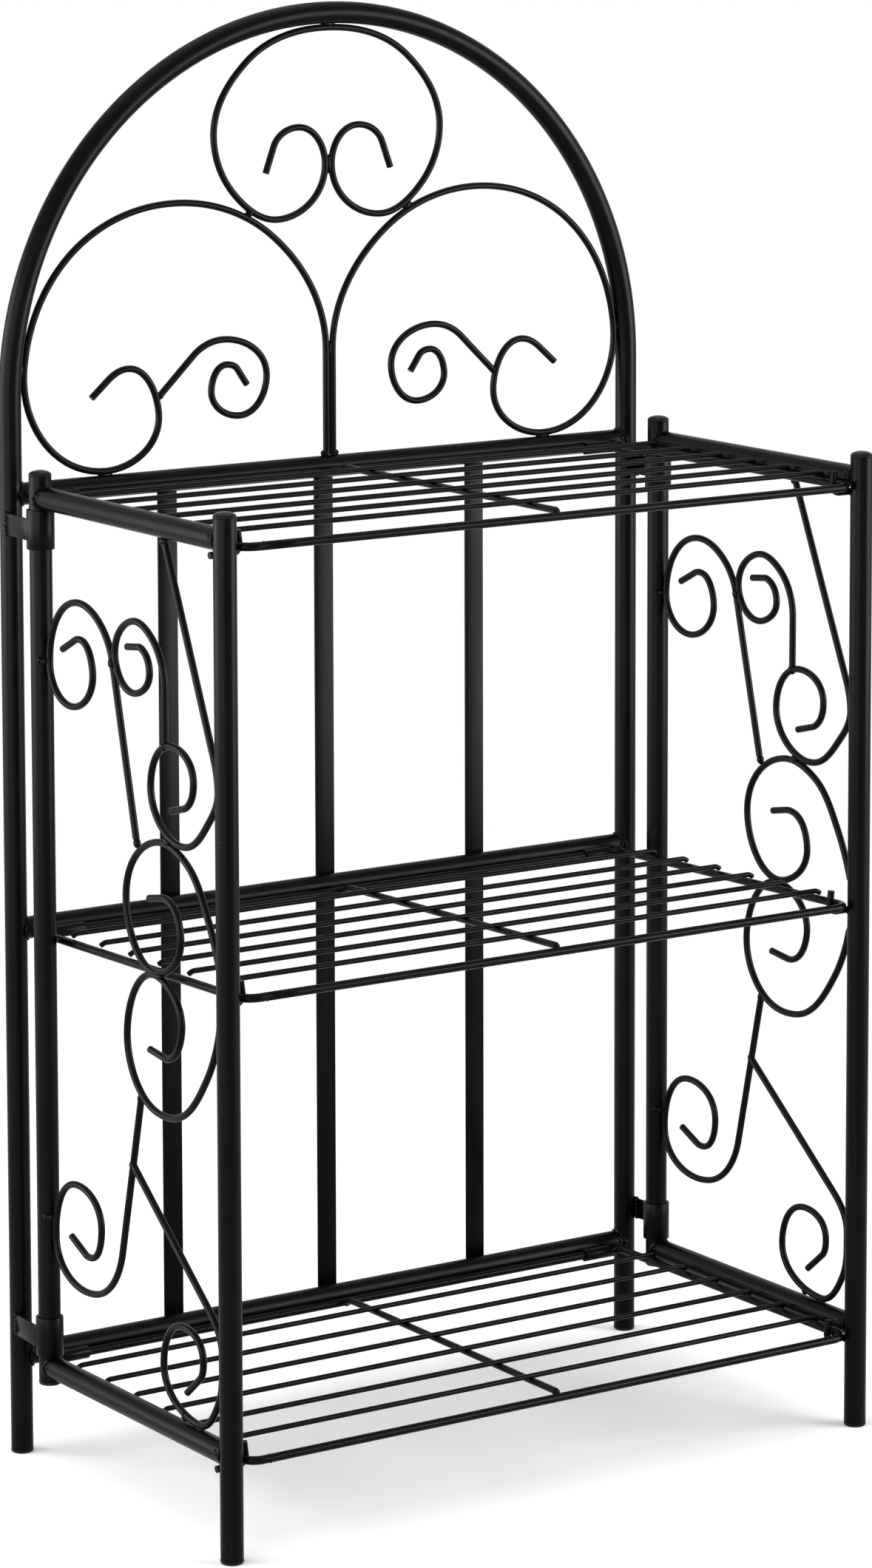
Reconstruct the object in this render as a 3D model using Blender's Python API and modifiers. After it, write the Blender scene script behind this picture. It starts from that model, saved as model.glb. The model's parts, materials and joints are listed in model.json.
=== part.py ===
"""Folding plant stand: an arched back frame, two hinged side panels and three tip-up wire shelves."""

import math

import bmesh
import bpy
from mathutils import Matrix, Vector

# Driving dimensions, in metres. The front of the stand faces -Y, the floor is Z = 0 and the origin lies
# under the middle of the stand. The back frame's own pieces, and the hinges, are placed from its plane.
TUBE = 0.016
TUBE_WALL = 0.001
SCROLL_WIRE = 0.005
SHELF_WIRE = 0.006
GRID_WIRE = 0.0038
CENTRE_BAR = 0.005
HOOK_ROD = 0.005
HALF_WIDTH = 0.267
ARCH_SPRING = 0.761
BOTTOM_TIER = 0.071
TIER_PITCH = 0.3125
RAIL_LIFT = 0.003
HINGE_SETBACK = 0.042
PANEL_DEPTH = 0.247
POST_RISE = 0.015
REAR_POST_DROP = 0.013

# Slats of the back frame
SLAT_WIDTH = 0.016
SLAT_THICKNESS = 0.002
SLAT_OVERLAP = 0.004
SLAT_NAMES = ("left_slat", "centre_slat", "right_slat")

# Hinge straps: a strip rolled round the panel's rear post, with a tail to the back post
STRAP_THICKNESS = 0.0015
STRAP_HEIGHT = 0.028
STRAP_TAIL_HEIGHT = 0.015
STRAP_LANDING_ANGLE = math.radians(40)

# Shelf hinge sleeves on the cross tubes
SLEEVE_WALL = 0.0012
SLEEVE_LENGTH = 0.028
SLEEVE_DROP = 0.0025
SLEEVE_END_PLAY = 0.001

# Shelves, each a little wider at the front, with its front wire a little forward of the posts' axes
SHELF_SPLAY = 0.0022
SHELF_FORWARD = 0.0035
FRONT_BEND = 0.012
REAR_BEND = 0.005
GRID_COUNT = 6
GRID_REAR_MARGIN = 0.045
GRID_FRONT_MARGIN = 0.034
GRID_END_DROP = 0.0023
GRID_END_RUN = 0.006
CENTRE_BAR_SINK = 0.0014
BAR_END_RUN = 0.011
MIDDLE_SHELF_RISE = 0.007

# Hooks on the front posts
HOOK_UPRIGHT = 0.016
HOOK_BEND = 0.006
HOOK_PLAY = 0.0007
HOOK_TAIL = 0.0054

# Plastic end pieces
CAP_DOME = 0.0033
CAP_RIM = 0.0008
FOOT_FLANGE = 0.0025
PLUG_DEPTH = 0.010

# Clearances
WELD_GAP = 0.0003
HINGE_CLEARANCE = 0.0004
SWING_CLEARANCE = 0.0006
PLUG_CLEARANCE = 0.0003

# Headings of a scroll's wire where it touches a tube
RISING = Vector((0, 1))
FALLING = Vector((0, -1))
INWARD = Vector((-1, 0))

# Fineness of the round pieces
TUBE_FACETS = 4
WIRE_FACETS = 1
SHELF_FACETS = 2
TURN_STEPS = 16
DOME_STEPS = 3
BEND_STEP = math.radians(20)
ARCH_STEP = math.radians(5)

# Places worked out from the dimensions above
TUBE_RADIUS = TUBE / 2
WIRE_RADIUS = SCROLL_WIRE / 2
SHELF_RADIUS = SHELF_WIRE / 2
TIERS = {
    "bottom": BOTTOM_TIER,
    "middle": BOTTOM_TIER + TIER_PITCH,
    "top": BOTTOM_TIER + 2 * TIER_PITCH,
}
SIDES = {"left": -1, "right": 1}
TOP_RAIL = TIERS["top"] + RAIL_LIFT
BOTTOM_RAIL = TIERS["bottom"] + RAIL_LIFT
POST_TOP = TOP_RAIL + POST_RISE
FOOT_TOP = FOOT_FLANGE + WELD_GAP
REAR_POST_BOTTOM = BOTTOM_RAIL - REAR_POST_DROP
STRAP_RADIUS = TUBE_RADIUS + HINGE_CLEARANCE + STRAP_THICKNESS
SLEEVE_RADIUS = SHELF_RADIUS + HINGE_CLEARANCE + SLEEVE_WALL
SHELF_AXIS_Y = -(TUBE_RADIUS + SLEEVE_RADIUS + WELD_GAP)
SHELF_DEPTH = HINGE_SETBACK + PANEL_DEPTH + SHELF_AXIS_Y + SHELF_FORWARD
SHELF_HALF = HALF_WIDTH - STRAP_RADIUS - SWING_CLEARANCE - SHELF_RADIUS
HOOK_DEPTH = PANEL_DEPTH - TUBE_RADIUS - HOOK_ROD / 2 - WELD_GAP
HOOK_FORWARD = HINGE_SETBACK + HOOK_DEPTH + SHELF_AXIS_Y
HOOKED_HALF = SHELF_HALF + SHELF_SPLAY * HOOK_FORWARD / SHELF_DEPTH
HOOK_REACH = HALF_WIDTH - HOOKED_HALF + SHELF_RADIUS + HOOK_PLAY + HOOK_ROD / 2
BACK_FRAME_Y = (HINGE_SETBACK + PANEL_DEPTH - WELD_GAP - SLAT_THICKNESS) / 2
HOOK_TAILS = {"bottom": HOOK_TAIL, "middle": 0.0, "top": HOOK_TAIL}
SHELF_RISES = {"bottom": 0.0, "middle": MIDDLE_SHELF_RISE, "top": 0.0}

for leftover in list(bpy.data.objects):
    bpy.data.objects.remove(leftover, do_unlink=True)


def new_collection(name):
    collection = bpy.data.collections.new(name)
    bpy.context.scene.collection.children.link(collection)
    return collection


parts = new_collection("folding_plant_stand")
cutters = new_collection("cutters")


def new_material(name, colour, roughness, metallic):
    material = bpy.data.materials.new(name)
    material.use_nodes = True
    shader = material.node_tree.nodes["Principled BSDF"]
    shader.inputs["Base Color"].default_value = (*colour, 1.0)
    shader.inputs["Roughness"].default_value = roughness
    shader.inputs["Metallic"].default_value = metallic
    return material


powder_coat = new_material("black_powder_coat", (0.014, 0.014, 0.015), 0.42, 0.1)
black_plastic = new_material("black_plastic", (0.02, 0.02, 0.022), 0.5, 0.0)


def new_pivot(name, place, tip=0.0, parent=None):
    """An empty that carries pieces: the back frame's, or one on the axis of a joint."""
    pivot = bpy.data.objects.new(name, None)
    pivot.parent = parent
    pivot.location = place
    pivot.rotation_euler = (tip, 0, 0)
    pivot.empty_display_size = TUBE
    parts.objects.link(pivot)
    return pivot


back_frame = new_pivot("back_frame", (0, BACK_FRAME_Y, 0))


def new_part(name, mesh, pivot=back_frame, material=powder_coat):
    part = bpy.data.objects.new(name, mesh)
    part.parent = pivot
    mesh.materials.append(material)
    mesh.shade_smooth()
    mesh.set_sharp_from_angle(angle=math.radians(40))
    parts.objects.link(part)
    return part


def new_cutter(name, mesh, pivot=back_frame):
    cutter = bpy.data.objects.new(name, mesh)
    cutter.parent = pivot
    cutter.hide_render = True
    cutter.display_type = "WIRE"
    cutters.objects.link(cutter)
    return cutter


def add_boolean(part, other, operation):
    change = part.modifiers.new(other.name, "BOOLEAN")
    change.object = other
    change.operation = operation
    change.solver = "EXACT"


def new_welded_part(name, meshes, pivot):
    """One piece welded up from several rods, joined where they run into each other."""
    part = new_part(name, meshes[0], pivot)
    for mesh in meshes[1:]:
        add_boolean(part, new_cutter(mesh.name, mesh, pivot), "UNION")
    return part


def tidy_mesh(mesh):
    """Weld loose caps to their walls and turn every face outwards."""
    work = bmesh.new()
    work.from_mesh(mesh)
    bmesh.ops.remove_doubles(work, verts=work.verts, dist=1e-6)
    bmesh.ops.recalc_face_normals(work, faces=work.faces)
    work.to_mesh(mesh)
    work.free()


def swept_mesh(name, points, diameter, facets, ring=False, wall=None):
    """Sweep a round section along points: a solid rod, a closed ring, or an open tube with a wall."""
    curve = bpy.data.curves.new(name, "CURVE")
    curve.dimensions = "3D"
    curve.bevel_depth = diameter / 2
    curve.bevel_resolution = facets
    curve.use_fill_caps = not ring and wall is None
    spline = curve.splines.new("POLY")
    spline.points.add(len(points) - 1)
    for knot, point in zip(spline.points, points):
        knot.co = (*point, 1.0)
    spline.use_cyclic_u = ring
    guide = bpy.data.objects.new(name + "_guide", curve)
    cutters.objects.link(guide)
    if wall is not None:
        shell = guide.modifiers.new("wall", "SOLIDIFY")
        shell.thickness = wall
        shell.offset = -1.0
    depsgraph = bpy.context.evaluated_depsgraph_get()
    mesh = bpy.data.meshes.new_from_object(guide.evaluated_get(depsgraph))
    mesh.name = name
    bpy.data.objects.remove(guide, do_unlink=True)
    tidy_mesh(mesh)
    return mesh


def tube_mesh(name, points, diameter=TUBE, wall=TUBE_WALL):
    return swept_mesh(name, points, diameter, TUBE_FACETS, wall=wall)


def box_mesh(name, size, centre, turn=0.0):
    """A box, turned about Z and then moved to its centre."""
    work = bmesh.new()
    bmesh.ops.create_cube(work, size=1.0)
    bmesh.ops.scale(work, vec=size, verts=work.verts)
    bmesh.ops.rotate(work, cent=(0, 0, 0), matrix=Matrix.Rotation(turn, 3, "Z"), verts=work.verts)
    bmesh.ops.translate(work, vec=centre, verts=work.verts)
    mesh = bpy.data.meshes.new(name)
    work.to_mesh(mesh)
    work.free()
    return mesh


def turned_part(name, profile, place, pivot):
    """A plastic piece turned about Z. The profile runs down the outer side, top to bottom."""
    mesh = bpy.data.meshes.new(name)
    edges = [(index, index + 1) for index in range(len(profile) - 1)]
    mesh.from_pydata([(radius, 0.0, height) for radius, height in profile], edges, [])
    part = new_part(name, mesh, pivot, black_plastic)
    part.location = place
    screw = part.modifiers.new("turn", "SCREW")
    screw.steps = TURN_STEPS
    screw.render_steps = TURN_STEPS
    screw.use_merge_vertices = True
    screw.merge_threshold = 1e-6
    return part


def arc_points(centre, radius, start, sweep, step=BEND_STEP):
    """Points on an arc in a plane, both ends included."""
    count = max(2, math.ceil(abs(sweep) / step - 1e-9))
    angles = [start + sweep * index / count for index in range(count + 1)]
    return [(centre[0] + radius * math.cos(angle), centre[1] + radius * math.sin(angle)) for angle in angles]


def wire_headings(knots, straights, touches):
    """Unit heading at each knot: as given where the wire touches a tube, or else that of a circle through
    the knot and its two neighbours."""
    chords = [after - before for before, after in zip(knots, knots[1:])]
    headings = [dict(touches).get(index) for index in range(len(knots))]
    for index, chord in enumerate(chords):
        if index in straights:
            headings[index] = chord.normalized()
            headings[index + 1] = chord.normalized()
    for index in range(1, len(knots) - 1):
        if headings[index] is None:
            before, after = chords[index - 1], chords[index]
            headings[index] = (before / before.length_squared + after / after.length_squared).normalized()
    for end, neighbour, chord in ((0, 1, chords[0]), (-1, -2, chords[-1])):
        if headings[end] is None:
            headings[end] = -headings[neighbour].reflect(chord.normalized())
    return headings


def wire_points(knots, straights=(), touches=()):
    """Points along a bent wire. A number in straights names a knot from which the wire runs straight, and a
    pair in touches gives the heading at a knot where it touches a tube."""
    headings = wire_headings(knots, straights, touches)
    points = [knots[0]]
    for index, (start, end) in enumerate(zip(knots, knots[1:])):
        chord = end - start
        leave, arrive = headings[index], headings[index + 1]
        turn = max(leave.angle(arrive), 1e-3)
        bend = leave.angle(chord) + chord.angle(arrive)
        handle = chord.length * (2 / 3) * math.tan(turn / 4) / math.sin(turn / 2)
        count = 1 if index in straights else max(1, math.ceil(bend / BEND_STEP))
        first, second = start + leave * handle, end - arrive * handle
        for step in range(1, count + 1):
            share = step / count
            rest = 1 - share
            points.append(start * rest ** 3 + first * (3 * rest ** 2 * share)
                          + second * (3 * rest * share ** 2) + end * share ** 3)
    return points


def cope_ends(part, name, places, pivot=back_frame):
    """Cut a tube's ends to sit against round posts, with the gap that a weld fills."""
    for index, (x, y, z) in enumerate(places):
        low, high = (x, y, z - TUBE), (x, y, z + TUBE)
        cutter = swept_mesh(f"{name}_cope_{index}", (low, high), TUBE + 2 * WELD_GAP, TUBE_FACETS)
        add_boolean(part, new_cutter(cutter.name, cutter, pivot), "DIFFERENCE")


def foot_plug(name, place, pivot=back_frame):
    stem = TUBE_RADIUS - TUBE_WALL - PLUG_CLEARANCE
    top = FOOT_FLANGE + PLUG_DEPTH
    profile = [(0, top), (stem, top), (stem, FOOT_FLANGE), (TUBE_RADIUS, FOOT_FLANGE), (TUBE_RADIUS, 0), (0, 0)]
    return turned_part(name, profile, place, pivot)


def domed_cap(name, place, pivot):
    """A cap with a low dome above a short rim, and a stem that plugs into the tube."""
    stem = TUBE_RADIUS - TUBE_WALL - PLUG_CLEARANCE
    quarter = [math.radians(90) * index / DOME_STEPS for index in range(DOME_STEPS + 1)]
    profile = [(TUBE_RADIUS * math.sin(angle), CAP_RIM + CAP_DOME * math.cos(angle)) for angle in quarter]
    profile[0] = (0.0, CAP_RIM + CAP_DOME)
    profile += [(TUBE_RADIUS, 0), (stem, 0), (stem, -PLUG_DEPTH), (0, -PLUG_DEPTH)]
    return turned_part(name, profile, place, pivot)


# Back frame
def build_arch_tube():
    over = arc_points((0, ARCH_SPRING), HALF_WIDTH, math.pi, -math.pi, ARCH_STEP)
    path = [(-HALF_WIDTH, FOOT_TOP), *over, (HALF_WIDTH, FOOT_TOP)]
    new_part("arch_tube", tube_mesh("arch_tube", [(x, 0, z) for x, z in path]))
    for side, sign in SIDES.items():
        foot_plug(f"{side}_rear_foot", (sign * HALF_WIDTH, 0, 0))


def build_cross_tubes():
    for tier, height in TIERS.items():
        name = f"{tier}_cross_tube"
        ends = [(sign * HALF_WIDTH, 0, height) for sign in SIDES.values()]
        tube = new_part(name, tube_mesh(name, ends))
        cope_ends(tube, name, ends)


def build_slats():
    low, high = TIERS["bottom"] - SLAT_OVERLAP, TIERS["top"] + SLAT_OVERLAP
    y = TUBE_RADIUS + WELD_GAP + SLAT_THICKNESS / 2
    pitch = 2 * HALF_WIDTH / (len(SLAT_NAMES) + 1)
    for index, name in enumerate(SLAT_NAMES):
        centre = (-HALF_WIDTH + pitch * (index + 1), y, (low + high) / 2)
        new_part(name, box_mesh(name, (SLAT_WIDTH, SLAT_THICKNESS, high - low), centre))


def arch_place(across, up, wires_in=0.0, wires_up=0.0):
    """A place inside the arch: shares of its clear half width there and of its clear height, then steps of
    one wire."""
    reach = HALF_WIDTH - TUBE_RADIUS - WELD_GAP - WIRE_RADIUS
    floor = TIERS["top"] + TUBE_RADIUS + WELD_GAP + WIRE_RADIUS
    height = floor + up * (ARCH_SPRING + reach - floor)
    half_width = math.sqrt(max(reach ** 2 - arch_rise(height) ** 2, 0))
    return Vector((across * half_width - wires_in * SCROLL_WIRE, height + wires_up * SCROLL_WIRE))


def arch_rise(height):
    """How far a height lies above the foot of the arch's curve."""
    return max(height - ARCH_SPRING, 0)


def arch_wire(name, knots, straights=(), touches=(), sign=1):
    points = [(sign * x, 0, z) for x, z in wire_points(knots, straights, touches)]
    new_part(name, swept_mesh(name, points, SCROLL_WIRE, WIRE_FACETS))


def build_arch_scrolls():
    beside = 0.5 + WELD_GAP / SCROLL_WIRE
    half_crown = [
        arch_place(0.261, 0.665),
        arch_place(0.154, 0.769),
        arch_place(0, 0.680, -beside),
        arch_place(0.189, 0.556),
        arch_place(0.379, 0.624),
        arch_place(0.541, 0.761),
        arch_place(0.661, 0.929),
        arch_place(0, 1),
    ]
    other_half = [Vector((-knot.x, knot.y)) for knot in reversed(half_crown[:-1])]
    arch_wire("crown_scroll", half_crown + other_half, (), ((2, FALLING), (12, RISING)))
    inner_side = (0.567, 0.127)
    side_touch = arch_place(1, 0.246)
    along_arch = Vector((arch_rise(side_touch.y), -side_touch.x)).normalized()
    scroll = [
        arch_place(0, 0, -beside, -0.5),
        arch_place(0, 0.243, -beside),
        arch_place(0.207, 0.518),
        arch_place(0.591, 0.608),
        arch_place(0.927, 0.499),
        side_touch,
        arch_place(0.742, 0),
        arch_place(*inner_side),
        arch_place(0.683, 0.231),
        arch_place(0.783, 0.171),
    ]
    curl = [
        arch_place(*inner_side, 0.2, 2.3),
        arch_place(0.455, 0.251),
        arch_place(0.354, 0.284),
        arch_place(0.211, 0.187),
        arch_place(0.303, 0.103),
        arch_place(0.394, 0.171),
        arch_place(0.336, 0.224),
        arch_place(0.277, 0.175),
    ]
    for side, sign in SIDES.items():
        arch_wire(f"{side}_arch_scroll", scroll, (0,), ((5, along_arch), (6, INWARD)), sign)
        arch_wire(f"{side}_arch_curl", curl, (0,), (), sign)


def build_straps():
    lows = {
        "upper": TOP_RAIL - TUBE_RADIUS - WELD_GAP - STRAP_HEIGHT,
        "lower": BOTTOM_RAIL + TUBE_RADIUS + WELD_GAP,
    }
    middle = TUBE_RADIUS + HINGE_CLEARANCE + STRAP_THICKNESS / 2
    landing_radius = TUBE_RADIUS + WELD_GAP + STRAP_THICKNESS / 2
    for side, sign in SIDES.items():
        start = Vector((sign * (HALF_WIDTH + middle), -HINGE_SETBACK))
        landing = Vector((sign * math.cos(STRAP_LANDING_ANGLE), -math.sin(STRAP_LANDING_ANGLE))) * landing_radius
        landing.x += sign * HALF_WIDTH
        run = landing - start
        centre = (start + landing) / 2
        for level, low in lows.items():
            name = f"{side}_{level}_strap"
            ends = [(sign * HALF_WIDTH, -HINGE_SETBACK, z) for z in (low, low + STRAP_HEIGHT)]
            strap = new_part(name, tube_mesh(name, ends, 2 * STRAP_RADIUS, STRAP_THICKNESS))
            size = (STRAP_THICKNESS, run.length, STRAP_TAIL_HEIGHT)
            place = (centre.x, centre.y, low + STRAP_HEIGHT / 2)
            tail = box_mesh(name + "_tail", size, place, math.atan2(-run.x, run.y))
            add_boolean(strap, new_cutter(tail.name, tail), "UNION")


def build_sleeves():
    outer = SHELF_HALF - REAR_BEND - SLEEVE_END_PLAY
    for tier, height in TIERS.items():
        for side, sign in SIDES.items():
            name = f"{tier}_{side}_sleeve"
            ends = [(sign * x, SHELF_AXIS_Y, height - SLEEVE_DROP) for x in (outer - SLEEVE_LENGTH, outer)]
            new_part(name, tube_mesh(name, ends, 2 * SLEEVE_RADIUS, SLEEVE_WALL))


# Side panels, built about the hinge axis of their rear post
def panel_place(forward, up, wires_forward=0.0, wires_up=0.0):
    """A place in a panel's clear field: shares of its depth and height, then steps of one wire."""
    edge = TUBE_RADIUS + WELD_GAP + WIRE_RADIUS
    low, high = BOTTOM_RAIL + edge, TOP_RAIL - edge
    depth = edge + forward * (PANEL_DEPTH - 2 * edge) + wires_forward * SCROLL_WIRE
    return Vector((depth, low + up * (high - low) + wires_up * SCROLL_WIRE))


def panel_wire(name, knots, straights=(), touches=()):
    points = [(0, -depth, z) for depth, z in wire_points(knots, straights, touches)]
    return swept_mesh(name, points, SCROLL_WIRE, WIRE_FACETS)


def upper_scrolls(prefix):
    shoulder = (0.388, 0.847)
    rear = [
        panel_place(0.093, 0.849),
        panel_place(0.183, 0.862),
        panel_place(0.264, 0.834),
        panel_place(0.154, 0.783),
        panel_place(0, 0.828),
        panel_place(0.163, 0.905),
        panel_place(0.313, 0.888),
        panel_place(*shoulder),
        panel_place(0.527, 0.643, -0.3, 1.0),
    ]
    inner = [
        panel_place(0.481, 0.872),
        panel_place(0.559, 0.871),
        panel_place(0.608, 0.847),
        panel_place(0.536, 0.820),
        panel_place(*shoulder, 0.85),
        panel_place(0.510, 0.901),
        panel_place(0.627, 0.886),
        panel_place(0.695, 0.845),
        panel_place(0.694, 0.768),
    ]
    front = [
        panel_place(0.725, 0.696),
        panel_place(0.811, 0.705),
        panel_place(0.859, 0.734),
        panel_place(0.720, 0.770),
        panel_place(0.609, 0.719),
        panel_place(0.715, 0.654, 0.1, 1.3),
        panel_place(0.820, 0.661),
        panel_place(0.935, 0.692),
        panel_place(1, 0.734),
        panel_place(0.975, 0.772),
        panel_place(0.702, 1, 0, 0.25),
    ]
    return [
        panel_wire(prefix + "_rear_scroll", rear, (7,), ((4, RISING),)),
        panel_wire(prefix + "_inner_scroll", inner, (7,)),
        panel_wire(prefix + "_front_scroll", front, (9,), ((8, RISING),)),
    ]


def middle_scrolls(prefix):
    meeting = (0.660, 0.506)
    above = [
        panel_place(0.594, 0.588),
        panel_place(0.681, 0.592),
        panel_place(0.778, 0.554),
        panel_place(*meeting),
        panel_place(0.456, 0.575),
        panel_place(0.650, 0.656),
        panel_place(0.822, 0.640),
        panel_place(0.942, 0.583),
        panel_place(1, 0.534),
    ]
    below = [
        panel_place(0.591, 0.413),
        panel_place(0.693, 0.408),
        panel_place(0.779, 0.447),
        panel_place(*meeting, 0, -0.8),
        panel_place(0.456, 0.429),
        panel_place(0.540, 0.357),
        panel_place(0.735, 0.344),
        panel_place(0.925, 0.404),
        panel_place(1, 0.466),
    ]
    return [panel_wire(prefix + "_above", above), panel_wire(prefix + "_below", below)]


def lower_scrolls(prefix):
    stem_top = panel_place(0.540, 0.357, -0.25, -1.0)
    stem_end = panel_place(0.415, 0.160)
    rear = [
        stem_top,
        stem_end,
        panel_place(0.255, 0.096),
        panel_place(0, 0.146),
        panel_place(0.126, 0.216),
        panel_place(0.286, 0.175),
        panel_place(0.212, 0.137),
        panel_place(0.099, 0.152),
    ]
    front = [
        stem_top.lerp(stem_end, 0.42),
        panel_place(0.929, 0.138),
        panel_place(1, 0.095),
        panel_place(0.980, 0.038),
        panel_place(0.865, 0),
        panel_place(0.657, 0.056),
        panel_place(0.758, 0.105),
        panel_place(0.890, 0.077),
        panel_place(0.870, 0.054),
        panel_place(0.795, 0.031),
    ]
    return [
        panel_wire(prefix + "_rear", rear, (0,), ((3, RISING),)),
        panel_wire(prefix + "_front", front, (0,), ((2, FALLING), (4, INWARD))),
    ]


def shelf_tip(tier):
    return math.asin(SHELF_RISES[tier] / SHELF_DEPTH)


def hook_height(tier):
    """Height of a hook's rod, just under the shelf's side bar where it crosses the rod."""
    bar = TIERS[tier] - SLEEVE_DROP + HOOK_FORWARD * math.tan(shelf_tip(tier))
    return bar - (SHELF_RADIUS + WELD_GAP) / math.cos(shelf_tip(tier)) - HOOK_ROD / 2


def build_hook(name, tier, sign, pivot):
    """A rod welded across the back of the front post, whose inner end turns up behind the shelf."""
    height = hook_height(tier)
    corner = arc_points((HOOK_REACH - HOOK_BEND, height + HOOK_BEND), HOOK_BEND, -math.pi / 2, math.pi / 2)
    path = [(-HOOK_TAILS[tier], height), *corner, (HOOK_REACH, height + HOOK_UPRIGHT)]
    points = [(-sign * inward, -HOOK_DEPTH, z) for inward, z in path]
    new_part(name, swept_mesh(name, points, HOOK_ROD, WIRE_FACETS), pivot)


def build_panel(side, sign):
    pivot = new_pivot(f"{side}_panel_hinge", (sign * HALF_WIDTH, -HINGE_SETBACK, 0), parent=back_frame)
    posts = {"rear": (0, REAR_POST_BOTTOM), "front": (-PANEL_DEPTH, 0)}
    for place, (y, bottom) in posts.items():
        name = f"{side}_{place}_post"
        new_part(name, tube_mesh(name, [(0, y, bottom + FOOT_TOP), (0, y, POST_TOP)]), pivot)
        domed_cap(f"{side}_{place}_cap", (0, y, POST_TOP + WELD_GAP), pivot)
    foot_plug(f"{side}_rear_plug", (0, 0, REAR_POST_BOTTOM), pivot)
    foot_plug(f"{side}_front_foot", (0, -PANEL_DEPTH, 0), pivot)
    for level, height in (("top", TOP_RAIL), ("bottom", BOTTOM_RAIL)):
        name = f"{side}_{level}_rail"
        ends = [(0, 0, height), (0, -PANEL_DEPTH, height)]
        rail = new_part(name, tube_mesh(name, ends), pivot)
        cope_ends(rail, name, ends, pivot)
    for level, scrolls in (("upper", upper_scrolls), ("middle", middle_scrolls), ("lower", lower_scrolls)):
        name = f"{side}_{level}_scrolls"
        new_welded_part(name, scrolls(name), pivot)
    for tier in TIERS:
        build_hook(f"{side}_{tier}_hook", tier, sign, pivot)


# Shelves, built about the axis of their rear wire
def shelf_frame_points():
    rear_x = SHELF_HALF - REAR_BEND
    front_x, front_y = SHELF_HALF + SHELF_SPLAY - FRONT_BEND, FRONT_BEND - SHELF_DEPTH
    bends = [
        ((rear_x, -REAR_BEND), REAR_BEND, math.pi / 2),
        ((front_x, front_y), FRONT_BEND, 0),
        ((-front_x, front_y), FRONT_BEND, -math.pi / 2),
        ((-rear_x, -REAR_BEND), REAR_BEND, math.pi),
    ]
    points = []
    for centre, radius, start in bends:
        points += arc_points(centre, radius, start, -math.pi / 2, 1.5 * BEND_STEP)
    return [(x, y, 0) for x, y in points]


def grid_meshes(prefix):
    """Cross wires with dipped ends, welded over a bar that runs from the rear wire to the front wire. The
    bar's rear end dips to the rear wire's level, so that it clears the cross tube when the shelf is tipped up."""
    seat = SHELF_RADIUS + WELD_GAP + GRID_WIRE / 2
    level = seat + GRID_END_DROP
    bar_level = level - (GRID_WIRE + CENTRE_BAR) / 2 + CENTRE_BAR_SINK
    bar_slope = math.atan2(bar_level, BAR_END_RUN)
    rear_end = SHELF_RADIUS + WELD_GAP + CENTRE_BAR / 2 * math.sin(bar_slope)
    front_end = SHELF_DEPTH - SHELF_RADIUS - WELD_GAP
    bar = [(0, -rear_end, 0), (0, -rear_end - BAR_END_RUN, bar_level), (0, -front_end, bar_level)]
    meshes = [swept_mesh(prefix + "_bar", bar, CENTRE_BAR, WIRE_FACETS)]
    pitch = (SHELF_DEPTH - GRID_REAR_MARGIN - GRID_FRONT_MARGIN) / (GRID_COUNT - 1)
    for index in range(GRID_COUNT):
        y = -(GRID_REAR_MARGIN + pitch * index)
        end = SHELF_HALF - SHELF_SPLAY * y / SHELF_DEPTH
        run = end - GRID_END_RUN
        points = [(-end, y, seat), (-run, y, level), (run, y, level), (end, y, seat)]
        meshes.append(swept_mesh(f"{prefix}_wire_{index}", points, GRID_WIRE, WIRE_FACETS))
    return meshes


def build_shelf(tier):
    place = (0, SHELF_AXIS_Y, TIERS[tier] - SLEEVE_DROP)
    pivot = new_pivot(f"{tier}_shelf_hinge", place, -shelf_tip(tier), back_frame)
    name = f"{tier}_shelf_frame"
    new_part(name, swept_mesh(name, shelf_frame_points(), SHELF_WIRE, SHELF_FACETS, ring=True), pivot)
    name = f"{tier}_shelf_grid"
    new_welded_part(name, grid_meshes(name), pivot)


build_arch_tube()
build_cross_tubes()
build_slats()
build_arch_scrolls()
build_straps()
build_sleeves()
for panel_side, panel_sign in SIDES.items():
    build_panel(panel_side, panel_sign)
for shelf_tier in TIERS:
    build_shelf(shelf_tier)
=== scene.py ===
import json
import math
from random import Random
import bpy
from mathutils import Matrix, Vector

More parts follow.
